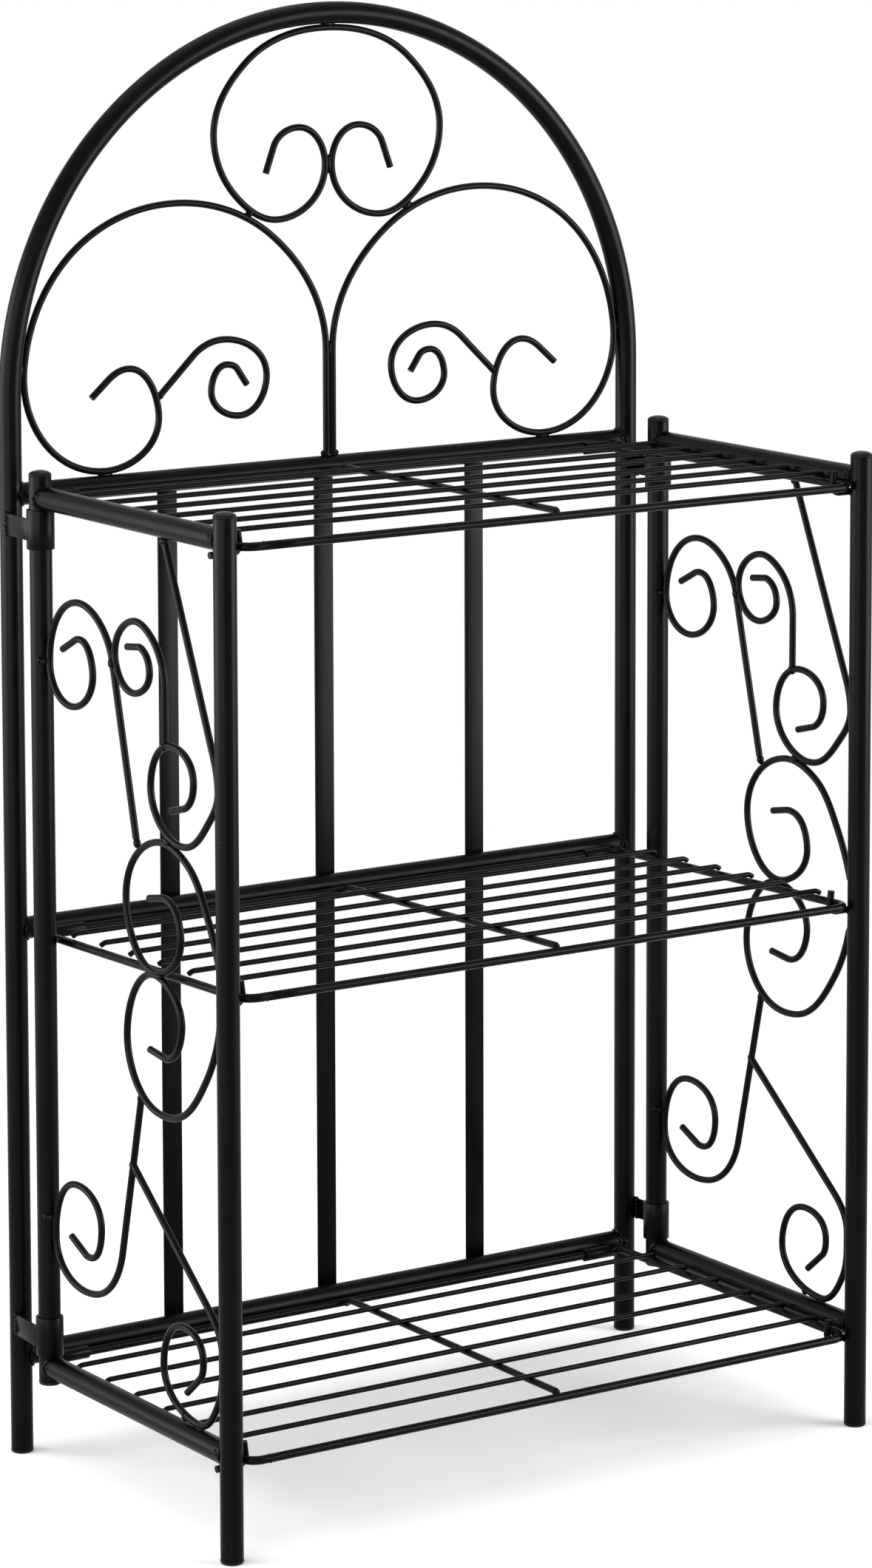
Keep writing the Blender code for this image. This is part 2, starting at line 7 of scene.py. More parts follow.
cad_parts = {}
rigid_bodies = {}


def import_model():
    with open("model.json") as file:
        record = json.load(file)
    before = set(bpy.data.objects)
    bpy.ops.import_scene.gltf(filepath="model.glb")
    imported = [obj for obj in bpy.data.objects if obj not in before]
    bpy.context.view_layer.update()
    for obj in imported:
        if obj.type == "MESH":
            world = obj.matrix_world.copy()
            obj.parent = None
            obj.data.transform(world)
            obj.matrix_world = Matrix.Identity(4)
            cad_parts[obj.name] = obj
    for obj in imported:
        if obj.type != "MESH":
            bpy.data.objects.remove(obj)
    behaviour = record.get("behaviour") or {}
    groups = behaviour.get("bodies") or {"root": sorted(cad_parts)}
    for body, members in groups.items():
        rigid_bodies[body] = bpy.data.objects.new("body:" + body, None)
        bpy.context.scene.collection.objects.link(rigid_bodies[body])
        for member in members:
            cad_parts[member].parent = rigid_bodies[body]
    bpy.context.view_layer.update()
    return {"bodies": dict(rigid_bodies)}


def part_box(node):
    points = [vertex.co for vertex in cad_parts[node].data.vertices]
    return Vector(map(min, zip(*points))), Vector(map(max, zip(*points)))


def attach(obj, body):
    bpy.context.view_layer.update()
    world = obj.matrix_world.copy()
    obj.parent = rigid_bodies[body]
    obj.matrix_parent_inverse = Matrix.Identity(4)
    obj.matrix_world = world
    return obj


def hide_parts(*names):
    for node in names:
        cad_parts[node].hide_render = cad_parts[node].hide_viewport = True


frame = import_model()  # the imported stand, which every piece below is fitted to

# sizes that many pieces share, in metres
stand = {
    "halfWidth": 0.267,
    "backY": 0.14335,  # plane of the arched back
    "hingeY": 0.10135,  # rear posts of the panels
    "frontY": -0.14565,  # front posts of the panels
    "tube": 0.008,  # radius
    "tubeWall": 0.001,
    "wire": 0.0025,  # radius of the scroll wire
    "gap": 0.0003,  # what a weld fills
    "archSpring": 0.761,
    "tiers": {"bottom": 0.071, "middle": 0.3835, "top": 0.696},
    "rails": {"top": 0.699, "bottom": 0.074},
    "sides": {"left": -1, "right": 1},
    "footTop": 0.0028,
    "postTop": 0.714,
    "rearPostBottom": 0.061,
}


# ways of working that the pieces share
sharpFrom = math.radians(38)  # softer edges are shaded smooth
samePlace = 1e-6  # corners closer than this are one


def pick(*pieces):
    bpy.ops.object.select_all(action="DESELECT")
    for piece in pieces:
        piece.select_set(True)
    bpy.context.view_layer.objects.active = pieces[0]


def takeNew(name):
    piece = bpy.context.object
    piece.name = name
    piece.data.name = name
    return piece


def startEdit(piece):
    pick(piece)
    bpy.ops.object.mode_set(mode="EDIT")
    bpy.ops.mesh.select_mode(type="FACE")
    bpy.ops.mesh.select_all(action="SELECT")


def endEdit():
    bpy.ops.object.mode_set(mode="OBJECT")


def bakeModifier(piece, kind, **settings):
    pick(piece)
    bpy.ops.object.modifier_add(type=kind)
    change = piece.modifiers[-1]
    for key, value in settings.items():
        setattr(change, key, value)
    bpy.ops.object.modifier_apply(modifier=change.name)


def settle(piece):  # place goes into the mesh
    pick(piece)
    bpy.ops.object.transform_apply(location=True, rotation=True, scale=True)


def joinAs(name, pieces):
    pick(*pieces)
    if len(pieces) > 1:
        bpy.ops.object.join()
    return takeNew(name)


def cutAway(piece, cutter):
    bakeModifier(piece, "BOOLEAN", object=cutter, operation="DIFFERENCE", solver="EXACT")
    bpy.data.objects.remove(cutter, do_unlink=True)


def hangOn(piece, body, finish, *replaced):
    pick(piece)
    bpy.ops.object.shade_smooth_by_angle(angle=sharpFrom)
    piece.data.materials.clear()
    piece.data.materials.append(finishes[finish])
    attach(piece, body)
    if replaced:
        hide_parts(*replaced)
    return piece


# finishes
coatLook = {
    "colour": (0.0009, 0.0008, 0.0007, 1),
    "chalk": (0.0018, 0.0016, 0.0014, 1),  # where the coat has gone a little dull
    "dust": (0.10, 0.097, 0.094, 1),
    "roughness": (0.26, 0.34),
    "specular": 0.055,
    "gleam": (1, 0.95, 0.915, 1),  # a little warm
    "bumps": (0.05, 0.035),
    "peel": 330,  # orange peel waves per metre
    "grain": 1500,
}
plasticLook = {
    "colour": (0.0026, 0.0026, 0.0027, 1),
    "chalk": (0.0045, 0.0045, 0.0046, 1),
    "dust": (0.10, 0.097, 0.094, 1),
    "roughness": (0.24, 0.32),
    "specular": 0.085,
    "gleam": (1, 1, 1, 1),
    "bumps": (0.03, 0.05),
    "peel": 120,
    "grain": 2600,
}
wearLook = {  # scales per metre, and the ranges of noise that they show in
    "specks": 140,
    "speckEdge": (0.03, 0.06),
    "speckPatches": 45,
    "speckRange": (0.64, 0.70),
    "rubs": (95, 95, 9),  # long and upright
    "rubRange": (0.30, 0.72),
    "dullPatches": 14,
    "dullRange": (0.42, 0.70),
    "peelDepth": 0.0006,
    "grainDepth": 0.0002,
}


def makeFinish(name, look):
    finish = bpy.data.materials.new(name)
    finish.use_nodes = True
    tree = finish.node_tree
    shader = tree.nodes["Principled BSDF"]
    shader.inputs["Specular IOR Level"].default_value = look["specular"]
    shader.inputs["Specular Tint"].default_value = look["gleam"]
    place = tree.nodes.new("ShaderNodeTexCoord")

    def noise(scale, detail, stretch=None):
        node = tree.nodes.new("ShaderNodeTexNoise")
        node.inputs["Scale"].default_value = scale
        node.inputs["Detail"].default_value = detail
        if stretch:
            turn = tree.nodes.new("ShaderNodeMapping")
            turn.inputs["Scale"].default_value = stretch
            tree.links.new(place.outputs["Object"], turn.inputs["Vector"])
            tree.links.new(turn.outputs["Vector"], node.inputs["Vector"])
        else:
            tree.links.new(place.outputs["Object"], node.inputs["Vector"])
        return node.outputs["Fac"]

    def spread(value, given, wanted):
        node = tree.nodes.new("ShaderNodeMapRange")
        node.interpolation_type = "SMOOTHSTEP"
        for socket, number in zip(("From Min", "From Max", "To Min", "To Max"), (*given, *wanted)):
            node.inputs[socket].default_value = number
        tree.links.new(value, node.inputs["Value"])
        return node.outputs["Result"]

    def mix(share, first, second):
        node = tree.nodes.new("ShaderNodeMix")
        node.data_type = "RGBA"
        tree.links.new(share, node.inputs[0])
        for socket, colour in ((node.inputs[6], first), (node.inputs[7], second)):
            if isinstance(colour, tuple):
                socket.default_value = colour
            else:
                tree.links.new(colour, socket)
        return node.outputs[2]

    def times(first, second):
        node = tree.nodes.new("ShaderNodeMath")
        node.operation = "MULTIPLY"
        tree.links.new(first, node.inputs[0])
        tree.links.new(second, node.inputs[1])
        return node.outputs["Value"]

    cells = tree.nodes.new("ShaderNodeTexVoronoi")  # dust specks, few and small
    cells.inputs["Scale"].default_value = wearLook["specks"]
    tree.links.new(place.outputs["Object"], cells.inputs["Vector"])
    specks = spread(cells.outputs["Distance"], wearLook["speckEdge"], (1, 0))
    rarely = spread(noise(wearLook["speckPatches"], 1), wearLook["speckRange"], (0, 1))
    rubs = noise(1, 3, wearLook["rubs"])  # faint rub marks
    dull = spread(noise(wearLook["dullPatches"], 4), wearLook["dullRange"], (0, 1))
    dulled = mix(dull, look["colour"], look["chalk"])
    dusted = mix(times(specks, rarely), dulled, look["dust"])
    tree.links.new(dusted, shader.inputs["Base Color"])
    shine = spread(rubs, wearLook["rubRange"], look["roughness"])
    tree.links.new(shine, shader.inputs["Roughness"])

    peel = tree.nodes.new("ShaderNodeBump")  # orange peel of the coat
    peel.inputs["Strength"].default_value = look["bumps"][0]
    peel.inputs["Distance"].default_value = wearLook["peelDepth"]
    tree.links.new(noise(look["peel"], 1), peel.inputs["Height"])
    grain = tree.nodes.new("ShaderNodeBump")  # its fine tooth
    grain.inputs["Strength"].default_value = look["bumps"][1]
    grain.inputs["Distance"].default_value = wearLook["grainDepth"]
    tree.links.new(noise(look["grain"], 2), grain.inputs["Height"])
    tree.links.new(peel.outputs["Normal"], grain.inputs["Normal"])
    tree.links.new(grain.outputs["Normal"], shader.inputs["Normal"])
    return finish


finishes = {
    "powder_coat": makeFinish("satinBlackCoat", coatLook),
    "end_plastic": makeFinish("mouldedBlackPlastic", plasticLook),
}
print("finishes made:", ", ".join(finishes))


# tubes
tubeLook = {
    "sides": 40,
    "archSides": 18,  # steps round half of the bent tube
    "archSteps": 44,
    "rimAngle": math.radians(50),
    "rimSteps": 2,
    "cope": 0.013,  # radius of the cutter
    "copeSides": 96,
    "copeLength": 0.05,
}


def straightTube(name, start, end, radius, wall, rim=0.0):
    start, end = Vector(start), Vector(end)
    run = end - start
    bpy.ops.object.select_all(action="DESELECT")
    bpy.ops.mesh.primitive_cylinder_add(
        vertices=tubeLook["sides"], radius=radius, depth=run.length, end_fill_type="NOTHING",
        location=(start + end) / 2, rotation=run.to_track_quat("Z", "Y").to_euler())
    tube = takeNew(name)
    settle(tube)
    bakeModifier(tube, "SOLIDIFY", thickness=wall, offset=-1, use_even_offset=True)
    if rim:
        bakeModifier(tube, "BEVEL", width=rim, segments=tubeLook["rimSteps"], limit_method="ANGLE",
                     angle_limit=tubeLook["rimAngle"])
    return tube


def copeEnds(tube, posts):  # shallow fish mouth at each end, against a round post
    inwards = (Vector(posts[1]) - Vector(posts[0])).normalized()
    for post, along in zip(posts, (inwards, -inwards)):
        bpy.ops.object.select_all(action="DESELECT")
        bpy.ops.mesh.primitive_cylinder_add(
            vertices=tubeLook["copeSides"], radius=tubeLook["cope"], depth=tubeLook["copeLength"],
            location=Vector(post) - along * (tubeLook["cope"] - stand["tube"]))
        cutAway(tube, takeNew("cope"))


# bent wire: a Bezier curve through knots in a plane, swept round and cut square
wireLook = {"sides": 5, "steps": 20, "chamfer": 0.0005, "chamferSteps": 3, "leastTurn": 1e-3}
rising, falling, inward = Vector((0, 1)), Vector((0, -1)), Vector((-1, 0))


def wireHeadings(knots, straights, touches):
    chords = [after - before for before, after in zip(knots, knots[1:])]
    headings = [dict(touches).get(index) for index in range(len(knots))]
    for index in straights:
        headings[index] = headings[index + 1] = chords[index].normalized()
    for index in range(1, len(knots) - 1):
        if headings[index] is None:  # that of a circle through the knot and its neighbours
            before, after = chords[index - 1], chords[index]
            headings[index] = (before / before.length_squared + after / after.length_squared).normalized()
    for end, neighbour, chord in ((0, 1, chords[0]), (-1, -2, chords[-1])):
        if headings[end] is None:
            headings[end] = -headings[neighbour].reflect(chord.normalized())
    return headings


def bendWire(name, knots, lift, radius, straights=(), touches=(), hollow=False, steps=None, sides=None,
             chamfer=wireLook["chamfer"]):
    headings = wireHeadings(knots, straights, touches)
    reaches = []
    for index, (start, end) in enumerate(zip(knots, knots[1:])):
        turn = max(headings[index].angle(headings[index + 1]), wireLook["leastTurn"])
        reaches.append((end - start).length * (2 / 3) * math.tan(turn / 4) / math.sin(turn / 2))
    bpy.ops.object.select_all(action="DESELECT")
    bpy.ops.curve.primitive_bezier_curve_add(location=(0, 0, 0))
    wire = takeNew(name)
    curve = wire.data
    curve.dimensions = "3D"
    curve.resolution_u = steps or wireLook["steps"]
    curve.bevel_depth = radius
    curve.bevel_resolution = sides or wireLook["sides"]
    curve.use_fill_caps = not hollow
    points = curve.splines[0].bezier_points
    points.add(len(knots) - len(points))
    for index, point in enumerate(points):
        point.handle_left_type = point.handle_right_type = "FREE"
        before, after = reaches[max(index - 1, 0)], reaches[min(index, len(reaches) - 1)]
        point.co = lift(knots[index])
        point.handle_left = lift(knots[index] - headings[index] * before)
        point.handle_right = lift(knots[index] + headings[index] * after)
    pick(wire)
    bpy.ops.object.convert(target="MESH")
    wire = takeNew(name)
    startEdit(wire)
    bpy.ops.mesh.remove_doubles(threshold=samePlace)
    bpy.ops.mesh.normals_make_consistent(inside=False)
    if not hollow:  # the cut ends lose their sharp edge
        bpy.ops.mesh.select_all(action="DESELECT")
        bpy.ops.mesh.select_face_by_sides(number=4, type="GREATER")
        bpy.ops.mesh.bevel(offset=chamfer, segments=wireLook["chamferSteps"], affect="EDGES")
    endEdit()
    return wire


def inBack(flat, sign=1):
    return Vector((sign * flat.x, stand["backY"], flat.y))


def inPanel(flat, sign):
    return Vector((sign * stand["halfWidth"], stand["hingeY"] - flat.x, flat.y))


# weld metal, gathered for each body and made at the end
weldLook = {
    "roughness": 0.0009,
    "lumps": 0.0032,
    "spotDetail": 3,
    "bead": 0.0012,  # radius of the bead round a coped end
    "beadPoints": 48,
    "beadDetail": 3,
    "beadSink": 0.0006,
    "ripple": 0.08,
    "ripples": 11,
    "legs": (0.9, 0.6, 0.97),  # shares: thickness on top, what the sides have more, and width
    "rearPosts": (0.1, 1.4, 0.97),
    "frontPosts": (0.9, -0.5, 0.935),  # a thin bead, which sinks in
    "corner": (0.0085, 0.0066, 0.0016),  # spot beside the bead: along the tube, aside and up
    "cornerSpot": (0.0030, 0.0021),
}
weldMetal = {body: [] for body in frame["bodies"]}
hand = Random(5)  # the welder's, never quite even


def weldLump(body, place, along, length, thick):
    bpy.ops.object.select_all(action="DESELECT")
    bpy.ops.mesh.primitive_ico_sphere_add(
        subdivisions=weldLook["spotDetail"], radius=1, location=place, scale=(thick, thick, length),
        rotation=Vector(along).to_track_quat("Z", "Y").to_euler())
    lump = takeNew("weldLump")
    settle(lump)
    weldMetal[body].append(lump)


def weldSaddle(body, post, along, where):  # bead round a coped end
    post, along = Vector(post), Vector(along)
    upright = Vector((0, 0, 1))
    aside = upright.cross(along)
    crown, ears, tuck = weldLook[where]
    bpy.ops.object.select_all(action="DESELECT")
    bpy.ops.curve.primitive_bezier_circle_add(location=(0, 0, 0))
    bead = takeNew("weldBead")
    bead.data.dimensions = "3D"
    bead.data.bevel_depth = weldLook["bead"]
    bead.data.bevel_resolution = bead.data.resolution_u = weldLook["beadDetail"]
    points = bead.data.splines[0].bezier_points
    points.add(weldLook["beadPoints"] - len(points))
    for index, point in enumerate(points):
        angle = math.tau * index / len(points)
        level = abs(math.cos(angle))
        across, cope = stand["tube"] * math.cos(angle), tubeLook["cope"]
        mouth = math.sqrt(cope ** 2 - across ** 2) - cope + stand["tube"]
        point.handle_left_type = point.handle_right_type = "AUTO"
        point.co = post + along * (mouth - weldLook["beadSink"] * level) + aside * across * tuck \
            + upright * (stand["tube"] * math.sin(angle))
        wave = 1 + weldLook["ripple"] * math.sin(weldLook["ripples"] * angle)
        point.radius = (crown + ears * level) * wave
    pick(bead)
    bpy.ops.object.convert(target="MESH")
    weldMetal[body].append(takeNew("weldBead"))
    away, left, up = weldLook["corner"]
    corner = post + along * away - Vector((abs(along.y), abs(along.x), 0)) * left + upright * up
    weldLump(body, corner, along + upright, *weldLook["cornerSpot"])


# arched back: the long bent tube
def makeArchTube():
    width, spring = stand["halfWidth"], stand["archSpring"]
    foot = stand["footTop"]
    knots = [Vector(knot) for knot in (
        (-width, foot), (-width, spring), (0, spring + width), (width, spring), (width, foot))]
    touches = ((0, rising), (1, rising), (2, Vector((1, 0))), (3, falling), (4, falling))
    arch = bendWire("arch_tube_bent", knots, inBack, stand["tube"], (), touches, True,
                    tubeLook["archSteps"], tubeLook["archSides"])
    bakeModifier(arch, "SOLIDIFY", thickness=stand["tubeWall"], offset=-1)
    hangOn(arch, "back_frame", "powder_coat", "arch_tube")


makeArchTube()


# cross tubes, coped against the legs
def makeCrossTubes():
    for tier, height in stand["tiers"].items():
        ends = [(sign * stand["halfWidth"], stand["backY"], height) for sign in (-1, 1)]
        tube = straightTube(tier + "_cross_tube_coped", *ends, stand["tube"], stand["tubeWall"])
        copeEnds(tube, ends)
        hangOn(tube, "back_frame", "powder_coat", tier + "_cross_tube")
        for end, sign in zip(ends, (-1, 1)):
            weldSaddle("back_frame", end, (-sign, 0, 0), "legs")


makeCrossTubes()
print("back tubes made")

# flat strips behind the cross tubes
slatLook = {"edge": 0.0006, "edgeSteps": 3, "weldSink": 0.0004, "weldSpot": (0.0035, 0.0011)}


def makeSlats():
    for name in ("left_slat", "centre_slat", "right_slat"):
        low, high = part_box(name)
        bpy.ops.object.select_all(action="DESELECT")
        bpy.ops.mesh.primitive_cube_add(size=1, location=(low + high) / 2, scale=high - low)
        slat = takeNew(name + "_strip")
        settle(slat)
        bakeModifier(slat, "BEVEL", width=slatLook["edge"], segments=slatLook["edgeSteps"])
        hangOn(slat, "back_frame", "powder_coat", name)
        for height in stand["tiers"].values():
            for x in (low.x, high.x):
                place = (x, low.y + slatLook["weldSink"], height)
                weldLump("back_frame", place, (0, 0, 1), *slatLook["weldSpot"])


makeSlats()


# scrollwork of the arch, as shares of the clear half width and height
def archRise(height):
    return max(height - stand["archSpring"], 0)


def archPlace(across, up, wiresIn=0.0, wiresUp=0.0):
    edge = stand["tube"] + stand["gap"] + stand["wire"]
    reach, floor = stand["halfWidth"] - edge, stand["tiers"]["top"] + edge
    height = floor + up * (stand["archSpring"] + reach - floor)
    halfWidth = math.sqrt(max(reach ** 2 - archRise(height) ** 2, 0))
    return Vector((across * halfWidth - wiresIn * 2 * stand["wire"], height + wiresUp * 2 * stand["wire"]))


archScroll = {
    "beside": 0.56,  # wires from the middle to a wire's centre
    "crown": ((0.261, 0.665), (0.246, 0.7255), (0.154, 0.769), None, (0.189, 0.556), (0.379, 0.624),
              (0.541, 0.761), (0.661, 0.929), (0, 1)),
    "crownMeets": 0.680,
    "stemFoot": -0.5,  # in wires, from the foot of the clear height
    "stemTop": 0.243,
    "sideTouch": 0.246,
    "floorTouch": 0.742,
    "shoulder": ((0.207, 0.518), (0.591, 0.608), (0.927, 0.499)),
    "inner": (0.567, 0.127),
    "tip": ((0.683, 0.231), (0.7306, 0.2091), (0.783, 0.171)),
    "curlStart": (0.2, 2.3),  # wires in and up from the inner knot
    "curl": ((0.455, 0.251), (0.354, 0.284), (0.211, 0.187), (0.303, 0.103), (0.394, 0.171), (0.340, 0.2245),
             (0.3082, 0.2124), (0.277, 0.175)),
    "crownWeld": ((0.0684, 0.8845), (1, 0, 0.75)),  # across and up in metres, and direction
    "stemWeld": (0.0012, 0.0012),  # metres in and up from the stem's foot
}
archWelds = {  # half length and radius
    "side": (0.0055, 0.0020),
    "floor": (0.0060, 0.0019),
    "stemFoot": (0.0036, 0.0026),
    "stemTop": (0.0060, 0.0018),
    "curl": (0.0034, 0.0027),
    "crownSide": (0.0042, 0.0027),
    "crownTop": (0.0060, 0.0020),
    "crownMeets": (0.0070, 0.0019),
}


def archSpot(kind, place, along):
    weldLump("back_frame", place, along, *archWelds[kind])


def makeArchScrolls():
    beside, wire = archScroll["beside"], stand["wire"]
    meeting = archPlace(0, archScroll["crownMeets"], -beside)
    half = [meeting if share is None else archPlace(*share) for share in archScroll["crown"]]
    whole = half + [Vector((-knot.x, knot.y)) for knot in reversed(half[:-1])]
    crown = bendWire("crown_scroll_wire", whole, inBack, wire, (0, 15), ((3, falling), (13, rising)))
    hangOn(crown, "back_frame", "powder_coat", "crown_scroll")
    touch = archPlace(1, archScroll["sideTouch"])
    alongArch = Vector((archRise(touch.y), -touch.x)).normalized()
    inner = archPlace(*archScroll["inner"])
    scroll = [archPlace(0, 0, -beside, archScroll["stemFoot"]), archPlace(0, archScroll["stemTop"], -beside)]
    scroll += [archPlace(*share) for share in archScroll["shoulder"]]
    scroll += [touch, archPlace(archScroll["floorTouch"], 0), inner]
    scroll += [archPlace(*share) for share in archScroll["tip"]]
    curl = [archPlace(*archScroll["inner"], *archScroll["curlStart"])]
    curl += [archPlace(*share) for share in archScroll["curl"]]
    for side, sign in stand["sides"].items():
        def lift(flat, sign=sign):
            return inBack(flat, sign)
        touches = ((5, alongArch), (6, inward))
        piece = bendWire(side + "_arch_scroll_wire", scroll, lift, wire, (0, 9), touches)
        hangOn(piece, "back_frame", "powder_coat", side + "_arch_scroll")
        piece = bendWire(side + "_arch_curl_wire", curl, lift, wire, (0, 7))
        hangOn(piece, "back_frame", "powder_coat", side + "_arch_curl")
        archSpot("side", lift(touch + Vector((wire, 0))), (0, 0, 1))
        archSpot("floor", lift(scroll[6] - Vector((0, wire))), (1, 0, 0))
        archSpot("stemFoot", lift(scroll[0] + Vector(archScroll["stemWeld"])), (1, 0, 0))
        archSpot("curl", lift(curl[0]), lift(curl[1]) - lift(curl[0]))
        place, along = archScroll["crownWeld"]
        archSpot("crownSide", lift(Vector(place)), along)
    archSpot("crownTop", inBack(half[-1] + Vector((0, wire))), (1, 0, 0))
    archSpot("crownMeets", inBack(Vector((0, meeting.y))), (0, 0, 1))
    archSpot("stemTop", inBack(Vector((0, scroll[1].y))), (0, 0, 1))


makeArchScrolls()
print("arch scrolls made")

# hinge straps: a strip rolled round the panel's post, with a tongue welded to the leg
strapLook = {
    "wall": 0.0015,
    "play": 0.0004,
    "tongue": 0.0155,
    "landing": math.radians(40),
    "edge": 0.00035,
    "edgeSteps": 2,
    "welds": (-0.42, -0.22, 0.02, 0.20, 0.43),  # spots along the tongue's end, as shares of its height
    "weldSink": 0.0002,
    "weldSway": 0.0010,
    "weldSizes": (0.0016, 0.0024),
    "weldSlopes": (0.2, 1.2),
    "weldStretch": 1.3,
}


def makeStraps():
    wall, inner = strapLook["wall"], stand["tube"] + strapLook["play"]
    for side, sign in stand["sides"].items():
        x = sign * stand["halfWidth"]
        start = Vector((x + sign * (inner + wall / 2), stand["hingeY"]))
        reach = stand["tube"] + stand["gap"] + wall / 2
        landing = Vector((x + sign * reach * math.cos(strapLook["landing"]),
                          stand["backY"] - reach * math.sin(strapLook["landing"])))
        run = landing - start
        for level in ("upper", "lower"):
            node = f"{side}_{level}_strap"
            low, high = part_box(node)
            ends = [(x, stand["hingeY"], z) for z in (low.z, high.z)]
            strap = straightTube(node + "_rolled", *ends, inner + wall, wall, strapLook["edge"])
            middle = (start + landing) / 2
            bpy.ops.object.select_all(action="DESELECT")
            bpy.ops.mesh.primitive_cube_add(
                size=1, location=(*middle, (low.z + high.z) / 2), rotation=(0, 0, math.atan2(-run.x, run.y)),
                scale=(wall, run.length, strapLook["tongue"]))
            tongue = takeNew("tongue")
            settle(tongue)
            bakeModifier(tongue, "BEVEL", width=strapLook["edge"], segments=strapLook["edgeSteps"])
            bakeModifier(strap, "BOOLEAN", object=tongue, operation="UNION", solver="EXACT")
            bpy.data.objects.remove(tongue, do_unlink=True)
            hangOn(strap, "back_frame", "powder_coat", node)
            for share in strapLook["welds"]:
                sway = hand.uniform(-strapLook["weldSway"], strapLook["weldSway"])
                place = (landing.x - sign * strapLook["weldSink"], landing.y + sway,
                         (low.z + high.z) / 2 + share * strapLook["tongue"])
                size = hand.uniform(*strapLook["weldSizes"])
                along = (0, 1, hand.uniform(*strapLook["weldSlopes"]))
                weldLump("back_frame", place, along, size * strapLook["weldStretch"], size)


makeStraps()

# short sleeves that the shelves' rear wires turn in
sleeveLook = {
    "wall": 0.0012,
    "edge": 0.0003,
    "welds": (0.12, 0.88),  # shares of the length
    "weldSink": 0.0004,
    "weldLift": 0.0034,
    "weldSpot": (0.0032, 0.0011),
}


def makeSleeves():
    for tier in stand["tiers"]:
        for side in stand["sides"]:
            node = f"{tier}_{side}_sleeve"
            low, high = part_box(node)
            middle = (low + high) / 2
            ends = [(x, middle.y, middle.z) for x in (low.x, high.x)]
            sleeve = straightTube(node + "_turned", *ends, (high.z - low.z) / 2, sleeveLook["wall"],
                                  sleeveLook["edge"])
            hangOn(sleeve, "back_frame", "powder_coat", node)
            for share in sleeveLook["welds"]:
                place = (low.x + share * (high.x - low.x), high.y - sleeveLook["weldSink"],
                         middle.z + sleeveLook["weldLift"])
                weldLump("back_frame", place, (1, 0, 0), *sleeveLook["weldSpot"])


makeSleeves()
print("straps and sleeves made")


# plastic ends, spun from half a section given as radius and height
endLook = {
    "steps": 40,
    "foot": ((0, 0.0125), (0.0062, 0.0125), (0.0067, 0.0120), (0.0067, 0.0025), (0.0079, 0.0025),
             (0.0081, 0.0023), (0.0081, 0.0011), (0.0079, 0.0005), (0.0075, 0.0001), (0.0069, 0), (0, 0)),
    "capDome": (0.0080, 0.0009, 0.0032),  # radius, where it springs, and its rise
    "domeAngle": math.radians(84),
    "domeSteps": 9,
    "capEdge": ((0.0081, 0.0011), (0.0081, 0.0003), (0.0079, 0), (0.0067, 0), (0.0067, -0.0100),
                (0, -0.0100)),
}


def spinEnd(name, section, place):
    place = Vector(place)
    bpy.ops.object.select_all(action="DESELECT")
    bpy.ops.mesh.primitive_circle_add(
        vertices=len(section), radius=stand["tube"], fill_type="NOTHING", location=(0, 0, 0))
    end = takeNew(name)
    for corner, (radius, height) in zip(end.data.vertices, section):
        corner.co = place + Vector((radius, 0, height))
    startEdit(end)
    bpy.ops.mesh.select_mode(type="EDGE")
    bpy.ops.mesh.select_all(action="DESELECT")
    endEdit()
    for edge in end.data.edges:  # the one along the axis goes
        edge.select = set(edge.vertices) == {0, len(section) - 1}
    bpy.ops.object.mode_set(mode="EDIT")
    bpy.ops.mesh.delete(type="EDGE")
    bpy.ops.mesh.select_all(action="SELECT")
    bpy.ops.mesh.spin(steps=endLook["steps"], angle=math.tau, center=place, axis=(0, 0, 1))
    bpy.ops.mesh.select_all(action="SELECT")
    bpy.ops.mesh.remove_doubles(threshold=samePlace)
    bpy.ops.mesh.normals_make_consistent(inside=False)
    endEdit()
    return end


def makeEnds():
    radius, spring, rise = endLook["capDome"]
    steps = endLook["domeSteps"]
    quarter = [endLook["domeAngle"] * index / steps for index in range(steps + 1)]
    cap = [(radius * math.sin(angle), spring + rise * math.cos(angle)) for angle in quarter]
    cap += endLook["capEdge"]
    for side, sign in stand["sides"].items():
        x, panel = sign * stand["halfWidth"], side + "_panel"
        for place, y in (("rear", stand["hingeY"]), ("front", stand["frontY"])):
            node = f"{side}_{place}_cap"
            end = spinEnd(node + "_domed", cap, (x, y, stand["postTop"] + stand["gap"]))
            hangOn(end, panel, "end_plastic", node)
        feet = (("rear_foot", stand["backY"], 0, "back_frame"), ("front_foot", stand["frontY"], 0, panel),
                ("rear_plug", stand["hingeY"], stand["rearPostBottom"], panel))
        for place, y, z, body in feet:
            node = f"{side}_{place}"
            hangOn(spinEnd(node + "_moulded", endLook["foot"], (x, y, z)), body, "end_plastic", node)


makeEnds()
print("plastic ends made")


# side panels: posts and rails
def makePanelTubes():
    for side, sign in stand["sides"].items():
        x, panel = sign * stand["halfWidth"], side + "_panel"
        posts = (("rear", stand["hingeY"], stand["rearPostBottom"]), ("front", stand["frontY"], 0))
        for place, y, bottom in posts:
            ends = [(x, y, bottom + stand["footTop"]), (x, y, stand["postTop"])]
            post = straightTube(f"{side}_{place}_post_tube", *ends, stand["tube"], stand["tubeWall"])
            hangOn(post, panel, "powder_coat", f"{side}_{place}_post")
        for level, height in stand["rails"].items():
            ends = [(x, stand["hingeY"], height), (x, stand["frontY"], height)]
            rail = straightTube(f"{side}_{level}_rail_coped", *ends, stand["tube"], stand["tubeWall"])
            copeEnds(rail, ends)
            hangOn(rail, panel, "powder_coat", f"{side}_{level}_rail")
            weldSaddle(panel, ends[0], (0, -1, 0), "rearPosts")
            weldSaddle(panel, ends[1], (0, 1, 0), "frontPosts")


makePanelTubes()


